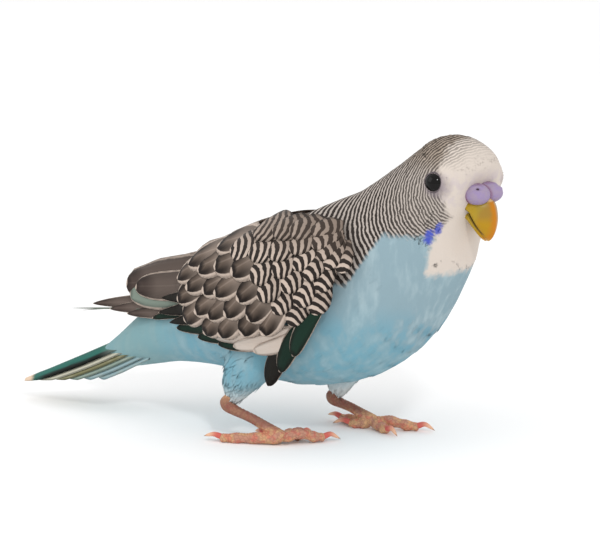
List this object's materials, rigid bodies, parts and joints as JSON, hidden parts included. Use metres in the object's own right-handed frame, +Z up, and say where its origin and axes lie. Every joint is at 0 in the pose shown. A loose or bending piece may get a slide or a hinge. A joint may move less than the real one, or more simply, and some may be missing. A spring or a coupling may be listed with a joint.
{
  "type": "budgerigar",
  "caption": "Life-size still model of a young sky-blue budgerigar standing on both feet, with folded wings, a short tail and its head turned to one side.",
  "frame": {"origin": "middle of the bird's bounding box at floor level", "axes": "+X towards the breast and head, +Y to the bird's left, +Z up"},
  "size_m": [0.1404, 0.0492, 0.0825],
  "materials": {
    "head_plumage": "soft cream-white feathers with fine dark grey bars on the crown and cheeks",
    "neck_plumage": "short feathers with fine dark and cream bars",
    "body_plumage": "soft sky-blue feathers with paler patches",
    "wing_feathers": "dark brown-grey feathers with cream edges",
    "tail_feathers": "dark teal-green feathers with black and pale yellow webs",
    "bill_horn": "satin olive-yellow horn",
    "cere_skin": "matt lilac skin",
    "eye": "glossy black",
    "eyelid_skin": "thin grey skin",
    "leg_skin": "scaly pinkish skin",
    "claw_horn": "pale pink horn"
  },
  "bodies": {
    "root": {"bill_lower": "bill_horn", "bill_upper": "bill_horn", "cere": "cere_skin", "claw_left_1": "claw_horn", "claw_left_2": "claw_horn", "claw_left_3": "claw_horn", "claw_left_4": "claw_horn", "claw_right_1": "claw_horn", "claw_right_2": "claw_horn", "claw_right_3": "claw_horn", "claw_right_4": "claw_horn", "eye_left": "eye", "eye_right": "eye", "eyelids_left": "eyelid_skin", "eyelids_right": "eyelid_skin", "head": "head_plumage", "neck": "neck_plumage", "rump": "body_plumage", "shank_left": "leg_skin", "shank_right": "leg_skin", "tail": "tail_feathers", "thigh_left": "body_plumage", "thigh_right": "body_plumage", "toe_left_1": "leg_skin", "toe_left_2": "leg_skin", "toe_left_3": "leg_skin", "toe_left_4": "leg_skin", "toe_right_1": "leg_skin", "toe_right_2": "leg_skin", "toe_right_3": "leg_skin", "toe_right_4": "leg_skin", "torso": "body_plumage", "wing_left": "wing_feathers", "wing_right": "wing_feathers"}
  },
  "joints": []
}
